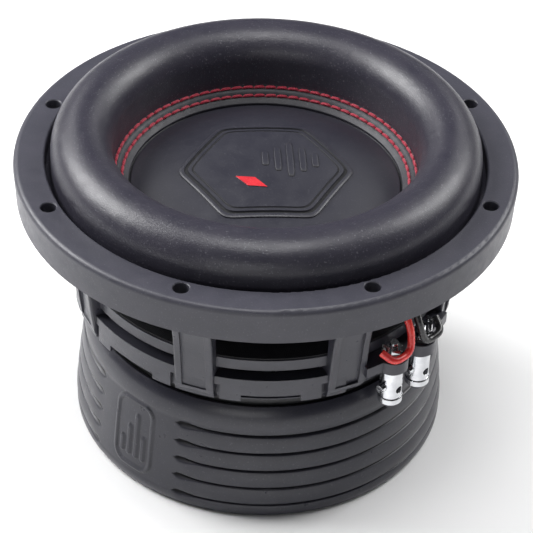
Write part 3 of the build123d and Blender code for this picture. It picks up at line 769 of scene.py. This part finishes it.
@dataclass
class DustCap:
    """The shallow cap with a raised six-sided plate, outlined by grooves and carrying level bars.

    Each groove holds its distance from the plate's edge, half its width, its wall's width and its depth.
    """

    radius: float = 60.4
    edge_height: float = 125.05
    rise: float = 8.0
    wall: float = 1.4
    plate_radius: float = 40.0
    plate_lift: float = 0.8
    bar_lengths: tuple = (11.0, 19.0, 27.0, 19.0, 11.0)
    bar_pitch: float = 5.6
    bar_half_width: float = 1.55
    bars_centre: tuple = (11.0, 5.0)
    bar_rise: float = 0.6
    outer_groove: tuple = (3.2, 0.85, 0.35, 0.8)
    inner_groove: tuple = (6.4, 0.45, 0.3, 0.5)

    def dome(self, radius):
        """The height of the cap's upper sphere at a radius."""
        sphere = (self.radius**2 + self.rise**2) / (2 * self.rise)
        return self.edge_height + self.rise - sphere + np.sqrt(sphere**2 - radius**2)

    def shell(self) -> Piece:
        """The cap itself: a dome with a rounded edge, closed by its own underside."""
        upper = np.linspace(0.0, self.radius - 1.2, 60)
        top = np.stack([upper, self.dome(upper)], axis=1)
        edge = rounded([tuple(top[-1]), (self.radius, self.dome(self.radius - 0.2)),
                        (self.radius, self.edge_height - self.wall)], 1.1, False, 8)[1:]
        lower = np.linspace(self.radius - 0.6, 0.0, 24)
        under = np.stack([lower, self.dome(lower) - self.wall], axis=1)
        return make_piece("dust_cap_shell", [Skin(revolved(np.concatenate([top, edge, under]), 256))])

    def plate_edge(self, angle: Array) -> Array:
        """The outline's radius: a hexagon whose corners are softened by a high power sum."""
        apothem = self.plate_radius * math.cos(math.pi / 6)
        total = 0.0
        for k in range(6):
            facing = np.maximum(np.cos(angle - math.pi / 6 - k * math.pi / 3), 0.0) / apothem
            total = total + facing**22
        return total ** (-1 / 22)

    def plate(self) -> Piece:
        """The raised plate: its height over the dome falls away at its edge and dips at two grooves."""
        share = np.concatenate([np.linspace(0.0, 0.78, 40), np.linspace(0.785, 0.97, 38),
                                np.array([0.978, 0.986, 0.992, 0.997, 1.0, 1.0])])
        angle = full_turn(360)
        reach = share[:, None] * self.plate_edge(angle)[None, :]
        x, y = reach * np.cos(angle), reach * np.sin(angle)
        from_edge = (1.0 - share) * self.plate_radius
        drop = 0.26 * ease(1.0 - from_edge / 0.9)
        hollow = np.zeros_like(share)
        for inset, half_width, wall, depth in (self.outer_groove, self.inner_groove):
            groove = band(np.abs(from_edge - inset), half_width, wall)
            drop = drop + depth * groove
            # painted shade in the two grooves
            hollow = np.maximum(hollow, groove)
        drop[-1] = self.plate_lift + 0.5
        lift = self.plate_lift - drop[:, None]
        points = np.stack([x, y, self.dome(reach) + lift], axis=2)
        return make_piece("dust_cap_plate", [Skin(points, hollow=hollow[:, None])], 30.0)

    def bar(self, centre: tuple, length: float) -> Skin:
        """One level bar: a pillow on a rounded rectangle, raised over the plate."""
        share = np.concatenate([np.linspace(0.0, 0.75, 5), np.array([0.88, 0.95, 0.99, 1.0, 1.0])])
        angle = full_turn(64)
        power = 5.0
        unit = (np.abs(np.cos(angle)) ** power + np.abs(np.sin(angle)) ** power) ** (-1 / power)
        x = centre[0] + share[:, None] * unit * np.cos(angle) * self.bar_half_width
        y = centre[1] + share[:, None] * unit * np.sin(angle) * length / 2
        height = self.bar_rise * np.sqrt(np.maximum(1.0 - share**8, 0.0))
        height[-1] = -0.4
        lift = self.plate_lift + height[:, None]
        points = np.stack([x, y, self.dome(np.hypot(x, y)) + lift], axis=2)
        # painted shade on the bar's rounded edge and on the skirt below it
        return Skin(points, hollow=ease((share[:, None] - 0.9) / 0.09))

    def bars(self) -> Piece:
        """The row of level bars."""
        middle = (len(self.bar_lengths) - 1) / 2
        skins = []
        for k, length in enumerate(self.bar_lengths):
            centre = (self.bars_centre[0] + (k - middle) * self.bar_pitch, self.bars_centre[1])
            skins.append(self.bar(centre, length))
        return make_piece("dust_cap_bars", skins, 50.0)

    def build(self, finisher: Finisher) -> None:
        """Builds the cap's three pieces on the moving body."""
        stands_for = {"dust_cap": self.shell(), "cap_badge": self.plate(), None: self.bars()}
        for node, piece in stands_for.items():
            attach(piece, "diaphragm")
            finisher.dress(piece, "cap_moulding")
            if node:
                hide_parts(node)


@dataclass
class Spider:
    """The damper: a flat foot on the landing ring, round corrugations and a collar at the former."""

    outer: float = 83.4
    first: float = 75.0
    inner: float = 26.1
    middle: float = 90.9
    swing: float = 1.9
    runs: int = 10
    wall: float = 0.8

    def line(self, radius: Array) -> Array:
        """The middle height: a cosine of two runs to a period, faded out at both ends."""
        collar = self.inner + 2.4
        pitch = (self.first - collar) / self.runs
        travel = (self.first - radius) / pitch
        fade = ease(travel) * ease((radius - collar) / pitch)
        return self.middle - self.swing * fade * np.cos(math.pi * travel)

    def build(self, finisher: Finisher) -> None:
        """Builds the damper."""
        radius = np.concatenate([np.linspace(self.outer, self.first, 5)[:-1],
                                 np.linspace(self.first, self.inner, 110)])
        height = self.line(radius)
        slope = np.gradient(height, radius)
        lean = np.hypot(1.0, slope)
        half = self.wall / 2
        upper = np.stack([radius - half * slope / lean, height + half / lean], axis=1)
        lower = np.stack([radius + half * slope / lean, height - half / lean], axis=1)[::-1]
        loop = np.concatenate([upper, lower])
        loop[:, 0] = np.clip(loop[:, 0], self.inner, self.outer)
        piece = make_piece("spider_cloth_disc", [Skin(revolved(loop, 320), wrap_rows=True)], 60.0)
        weights = ease((self.first - radii_of(piece)) / (self.first - self.inner - 1.0))
        bend_between(piece, "diaphragm")
        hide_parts("spider")
        finisher.dress(piece, "spider_cloth")


@dataclass
class TerminalPiece:
    """What belongs to one terminal: which pair, which hand, and how far out the terminals stand."""

    place: Place
    hand: Hand
    reach: float = 88.4

    def key(self) -> str:
        """The terminal's name, as the nodes' names end."""
        return f"{self.place.name.lower()}_{self.hand.name.lower()}"


@dataclass
class FlyingLead(TerminalPiece):
    """One tinsel lead and its sleeve, from a solder tab round the stud, up and in to the cone."""

    bracket_top: float = 82.5
    tinsel: float = 0.8
    sleeve: float = 1.7
    eyelet_radius: float = 36.0
    eyelet_angle: float = 8.0
    sleeve_share: float = 0.49
    move_shares: tuple = (0.22, 0.93)

    def eyelet(self, back: float) -> Spot:
        """A point on the eyelet's axis, a distance behind the cone's middle."""
        lean = math.hypot(1.0, CONE.slope)
        radius = self.eyelet_radius + back * CONE.slope / lean
        height = CONE.top(self.eyelet_radius) - 1.0 - back / lean
        angle = math.radians(self.hand.value * self.eyelet_angle)
        return radius * math.cos(angle), radius * math.sin(angle), height

    def corners(self) -> list[tuple]:
        """The route's corners with the terminals' azimuth along X."""
        side, reach, top = self.hand.value, self.reach, self.bracket_top
        return [
            (reach + 0.4, side * 17.7, top + 6.6),
            (reach + 6.3, side * 15.5, top + 3.4),
            (reach + 6.3, side * 4.6, top + 2.6),
            (reach + 3.8, side * 2.5, top + 13.5),
            (reach - 2.4, side * 3.4, top + 23.0),
            (reach - 16.0, side * 4.4, top + 24.0),
            (reach - 32.0, side * 5.2, top + 16.5),
            self.eyelet(9.0),
            self.eyelet(1.75),
        ]

    def build(self, finisher: Finisher) -> None:
        """Builds the braid and the sleeve on one shared path."""
        path = rounded(self.corners(), 99.0, False, 12)
        path = turn(path, self.place.value)
        travel = np.concatenate([[0.0], np.cumsum(np.linalg.norm(np.diff(path, axis=0), axis=1))])
        even = np.arange(0.0, travel[-1], 0.7)
        path = np.stack([np.interp(even, travel, path[:, k]) for k in range(3)], axis=1)
        stop = int(np.argmin(np.abs(even - even[-1] * self.sleeve_share)))
        sleeve_slot = "red_sleeve" if self.hand is Hand.LEFT else "black_sleeve"
        stretches = {
            "lead_sleeve_": (slice(0, stop + 1), self.sleeve, sleeve_slot),
            "tinsel_lead_": (slice(stop - 4, None), self.tinsel, "tinsel_braid"),
        }
        for base, (stretch, radius, slot) in stretches.items():
            line, along = path[stretch], even[stretch]
            node = base + self.key()
            piece = make_piece(node + "_run", [Skin(tube_along(line, radius, 16))], 60.0)
            spots = points_of(piece)
            bend_between(piece, "diaphragm")
            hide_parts(node)
            finisher.dress(piece, slot)


@dataclass
class ButtonSpring(TerminalPiece):
    """A push button's return spring: a helix between the button's head and the bore's end."""

    spacing: float = 18.0
    bottom: float = 67.3
    height: float = 4.4
    radius: float = 2.15
    wire: float = 0.25
    turns: float = 5.0

    def build(self, finisher: Finisher) -> None:
        """Builds the spring."""
        share = np.linspace(0.0, 1.0, 200)
        angle = 2 * math.pi * self.turns * share
        path = np.stack([self.reach + self.radius * np.cos(angle),
                         self.hand.value * self.spacing / 2 + self.radius * np.sin(angle),
                         self.bottom + self.height * share], axis=1)
        node = "button_spring_" + self.key()
        coil = turn(tube_along(path, self.wire, 8), self.place.value)
        piece = make_piece(node + "_coil", [Skin(coil)], 60.0)
        share_up = (points_of(piece)[:, 2] - self.bottom) / self.height
        bend_between(piece, "push_button_" + self.key())
        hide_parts(node)
        finisher.dress(piece, "spring_steel")


# ---- motor ----


@dataclass
class MotorBoot:
    """The rubber boot: a waisted drum with soft bands between narrow grooves that widen to a wedge and
    stop at two smooth panels, each with a raised framed row of level bars."""

    inner_radius: float = 77.1
    floor: float = 3.0
    floor_hole: float = 55.0
    lip_height: float = 59.4
    groove_heights: tuple = (45.0, 35.6, 26.2, 16.8, 7.4)
    groove_depth: float = 1.2
    groove_half_width: float = 0.42
    band_swell: float = 0.85
    panels: tuple = (-135.0, 45.0)
    panel_half_angle: float = 15.0
    emblem_height: float = 28.0
    emblem_bars: tuple = (9.0, 16.5, 24.0, 13.5)
    emblem_bar_half: float = 1.25
    emblem_pitch: float = 4.2
    emblem_foot: float = -12.5
    emblem_frame: tuple = (10.5, 18.0, 6.0)
    emblem_rise: float = 0.7

    def outline(self) -> Array:
        """The outer line from foot to lip."""
        heel = arc_through((84.6, 0.0), (86.0, 2.2), (86.4, 7.0), 12)
        side = arc_through((86.4, 7.0), (84.5, 27.0), (82.1, 47.0), 24)
        shoulder = arc_through((82.1, 47.0), (81.4, 54.6), (78.6, self.lip_height), 20)
        return np.concatenate([heel, side[1:], shoulder[1:]])

    def rows(self) -> Array:
        """The heights of the grid: even, with extra rows at each groove's walls."""
        extra = np.array([0.0, 0.15, 0.35, 0.55, 0.75, 1.0, 1.3])
        near = np.concatenate([height + side * extra for height in self.groove_heights for side in (-1, 1)])
        even = np.linspace(0.0, self.lip_height, 64)
        clear = [h for h in even if np.abs(h - np.array(self.groove_heights)).min() > 1.5]
        return np.unique(np.concatenate([near, clear, [0.0, self.lip_height]]))

    def columns(self) -> Array:
        """The azimuths of the grid in degrees: finer over the panels and the grooves' ends."""
        base = self.panels[0]
        fine, coarse = 22.0, 180.0 - 22.0
        half = np.concatenate([np.arange(-fine, fine, 0.4), np.arange(fine, coarse, 0.9)])
        return np.concatenate([base + half, base + 180.0 + half])

    def emblem(self, along: Array, up: Array) -> Array:
        """The relief of a panel's emblem: a rounded frame round a few level bars."""
        share = band(np.abs(rounded_box_distance(along, up, *self.emblem_frame)), 0.9, 0.6)
        for k, tall in enumerate(self.emblem_bars):
            centre = (k - (len(self.emblem_bars) - 1) / 2) * self.emblem_pitch
            middle = self.emblem_foot + tall / 2
            inside = rounded_box_distance(along - centre, up - middle, self.emblem_bar_half, tall / 2, 1.1)
            share = np.maximum(share, band(inside, 0.0, 0.6))
        return self.emblem_rise * share

    def relief(self, azimuth: Array, height: Array, radius: Array) -> tuple:
        """How far the skin stands in or out of the outline, and how much painted shade it gets in the grooves
        and on the emblems' edges.
        """
        off = np.min([np.abs(self.beside(azimuth, panel)) for panel in self.panels], axis=0)
        past = np.radians(off - self.panel_half_angle) * radius
        ribbed = ease(past / 2.2)
        wedge = ease(past / 3.5) * ease(1.0 - (past - 3.0) / 11.0)
        result = np.zeros_like(radius + height + azimuth)
        hollow = np.zeros_like(result)
        heights = np.array(self.groove_heights)
        pitch = heights[0] - heights[1]
        for groove in heights:
            width = self.groove_half_width * (0.25 + 0.75 * ease(past / 3.0) + 1.7 * wedge)
            within = ribbed * (1.0 - ease(np.abs(height - groove) / (width * 1.7)))
            result -= self.groove_depth * within
            # painted shade in the grooves
            hollow = np.maximum(hollow, within)
        phase = (height - heights[-1]) / pitch
        banded = (height > heights[-1]) & (height < heights[0])
        fall = self.fade(height, heights)
        swell = np.where(banded, np.sin(math.pi * (phase % 1.0)) ** 0.6 - 0.55, -0.55 * fall)
        result += self.band_swell * swell * ease(past / 9.0)
        for panel in self.panels:
            signed = self.beside(azimuth, panel)
            emblem = self.emblem(np.radians(signed) * radius, height - self.emblem_height)
            raised = np.where(np.abs(signed) < 20.0, emblem, 0.0)
            result += raised
            # painted shade on the emblem's edge walls, darkest halfway up them
            half_up = 1.0 - np.abs(2.0 * raised / self.emblem_rise - 1.0)
            hollow = np.maximum(hollow, 0.8 * half_up.clip(0.0, 1.0))
        return result, hollow

    @staticmethod
    def beside(azimuth: Array, panel: float) -> Array:
        """How far an azimuth is from a panel's middle, from -180 to 180 degrees."""
        return (azimuth - panel + 180.0) % 360.0 - 180.0

    @staticmethod
    def fade(height: Array, heights: Array) -> Array:
        """1 at the top and bottom grooves, falling to 0 a few millimetres beyond them."""
        beyond = np.maximum(height - heights[0], heights[-1] - height)
        return 1.0 - ease(beyond / 6.0)

    def build(self, finisher: Finisher) -> None:
        """Builds the boot as one closed skin."""
        line = self.outline()
        height = self.rows()
        azimuth = self.columns()
        base = np.interp(height, line[:, 1], line[:, 0])
        standing, hollow = self.relief(azimuth[None, :], height[:, None], base[:, None])
        radius = base[:, None] + standing
        inside = np.array([(self.inner_radius + 0.5, self.lip_height),
                           (self.inner_radius, self.lip_height - 0.4), (self.inner_radius, self.floor),
                           (self.floor_hole, self.floor), (self.floor_hole, 0.0)])
        radii = np.concatenate([radius, inside[:, 0, None] + 0 * azimuth[None, :]])
        heights = np.concatenate([height, inside[:, 1]])[:, None] + 0 * azimuth[None, :]
        angle = np.radians(azimuth)[None, :]
        points = np.stack([radii * np.cos(angle), radii * np.sin(angle), heights], axis=2)
        hollow = np.concatenate([hollow, np.zeros((len(inside), len(azimuth)))])
        piece = make_piece("motor_boot_skin", [Skin(points, wrap_rows=True, hollow=hollow)], 50.0)
        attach(piece, "frame")
        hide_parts("motor_boot")
        finisher.dress(piece, "boot_rubber")


# ---- studio ----


@dataclass(frozen=True)
class Softbox:
    """A soft area light aimed at the driver."""

    name: str
    place: Spot
    size: tuple[float, float]
    power: float
    aim_height: float = 0.1

    def build(self) -> None:
        """Adds the light to the scene."""
        data = bpy.data.lights.new(self.name, "AREA")
        data.shape = "RECTANGLE"
        data.size, data.size_y = self.size
        data.energy = self.power
        light = bpy.data.objects.new(self.name, data)
        light.location = self.place
        aim = Vector((0.0, 0.0, self.aim_height)) - Vector(self.place)
        light.rotation_euler = aim.to_track_quat("-Z", "Y").to_euler()
        bpy.context.scene.collection.objects.link(light)


@dataclass
class Studio:
    """The floor, the lights, the surrounding light and the camera."""

    floor_half: float = 6.0
    floor_drop: float = 0.0002
    lens: float = 156.25
    stand: Spot = (-0.0552, -0.83805, 0.7309)
    tilt_lean_heading: tuple = (52.056, -1.676, -2.587)
    horizon: float = 0.16
    zenith: float = 0.5
    lights: tuple[Softbox, ...] = (
        Softbox("left_back", (-0.95, 0.38, 0.92), (0.8, 0.8), 27.0),
        Softbox("right_back", (0.95, 0.38, 0.92), (0.65, 0.7), 13.0),
        Softbox("overhead", (0.0, -0.15, 1.6), (0.7, 0.7), 12.0),
        Softbox("back_left", (-0.55, 1.1, 0.85), (0.4, 0.45), 1.5, 0.12),
        Softbox("back_right", (0.62, 1.05, 0.85), (0.4, 0.45), 1.2, 0.12),
        Softbox("front_low", (-0.35, -1.5, 0.45), (0.9, 0.5), 3.4, 0.07),
    )

    def floor(self) -> None:
        """A plain pale floor, very slightly uneven in tone."""
        grid = np.linspace(-self.floor_half, self.floor_half, 9) / MM
        x, y = np.meshgrid(grid, grid)
        points = np.stack([x, y, 0 * x - self.floor_drop / MM], axis=2)
        piece = make_piece("studio_floor", [Skin(points, wrap_columns=False)])
        if piece.data.polygons[0].normal.z < 0:
            piece.data.flip_normals()
        finish = Finish("studio_floor", grey(0.92), grey(0.89, 0.005), 0.6, 0.05,
                        patch_mm=300.0, grain_mm=3.0, depth_mm=0.02)
        piece.data.materials.append(finish.material())

    def surroundings(self) -> None:
        """A pale even light from all round."""
        world = bpy.data.worlds.new("studio_air")
        world.use_nodes = True
        nodes, links = world.node_tree.nodes, world.node_tree.links
        sky, rise = nodes.new("ShaderNodeSeparateXYZ"), nodes.new("ShaderNodeMapRange")
        links.new(nodes.new("ShaderNodeTexCoord").outputs["Generated"], sky.inputs[0])
        links.new(sky.outputs["Z"], rise.inputs["Value"])
        links.new(rise.outputs[0], nodes["Background"].inputs["Strength"])
        rise.inputs["To Min"].default_value = self.horizon
        rise.inputs["To Max"].default_value = self.zenith
        bpy.context.scene.world = world

    def camera(self) -> None:
        """The camera, from the front and above."""
        data = bpy.data.cameras.new("studio_camera")
        data.lens = self.lens
        data.sensor_width = 36.0
        data.clip_end = 50.0
        camera = bpy.data.objects.new("studio_camera", data)
        camera.location = self.stand
        camera.rotation_euler = [math.radians(angle) for angle in self.tilt_lean_heading]
        bpy.context.scene.collection.objects.link(camera)
        bpy.context.scene.camera = camera

    def build(self) -> None:
        """Sets the whole studio up."""
        self.floor()
        self.surroundings()
        for light in self.lights:
            light.build()
        self.camera()
        settings = bpy.context.scene.view_settings
        settings.view_transform = "Standard"
        settings.look = "None"
        log.info("studio ready")


def clear_start_up() -> None:
    """Removes whatever the start-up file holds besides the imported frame."""
    keep = set(frame["nodes"].values()) | set(frame["bodies"].values())
    for thing in [o for o in bpy.data.objects if o not in keep]:
        bpy.data.objects.remove(thing)


def main() -> None:
    """Builds the driver's looks and the studio."""
    logging.basicConfig(level=logging.INFO, format="%(message)s")
    clear_start_up()
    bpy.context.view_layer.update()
    finisher = Finisher()
    finisher.dress_frame()
    surround = Surround()
    surround.build(finisher)
    for node, (radius, count) in zip(("stitch_row_outer", "stitch_row_inner"), surround.stitch_rows):
        StitchRow(node, radius, count).build(finisher)
    DustCap().build(finisher)
    Spider().build(finisher)
    MotorBoot().build(finisher)
    for place in Place:
        for hand in Hand:
            FlyingLead(place, hand).build(finisher)
            ButtonSpring(place, hand).build(finisher)
    Studio().build()


if __name__ == "__main__":
    main()
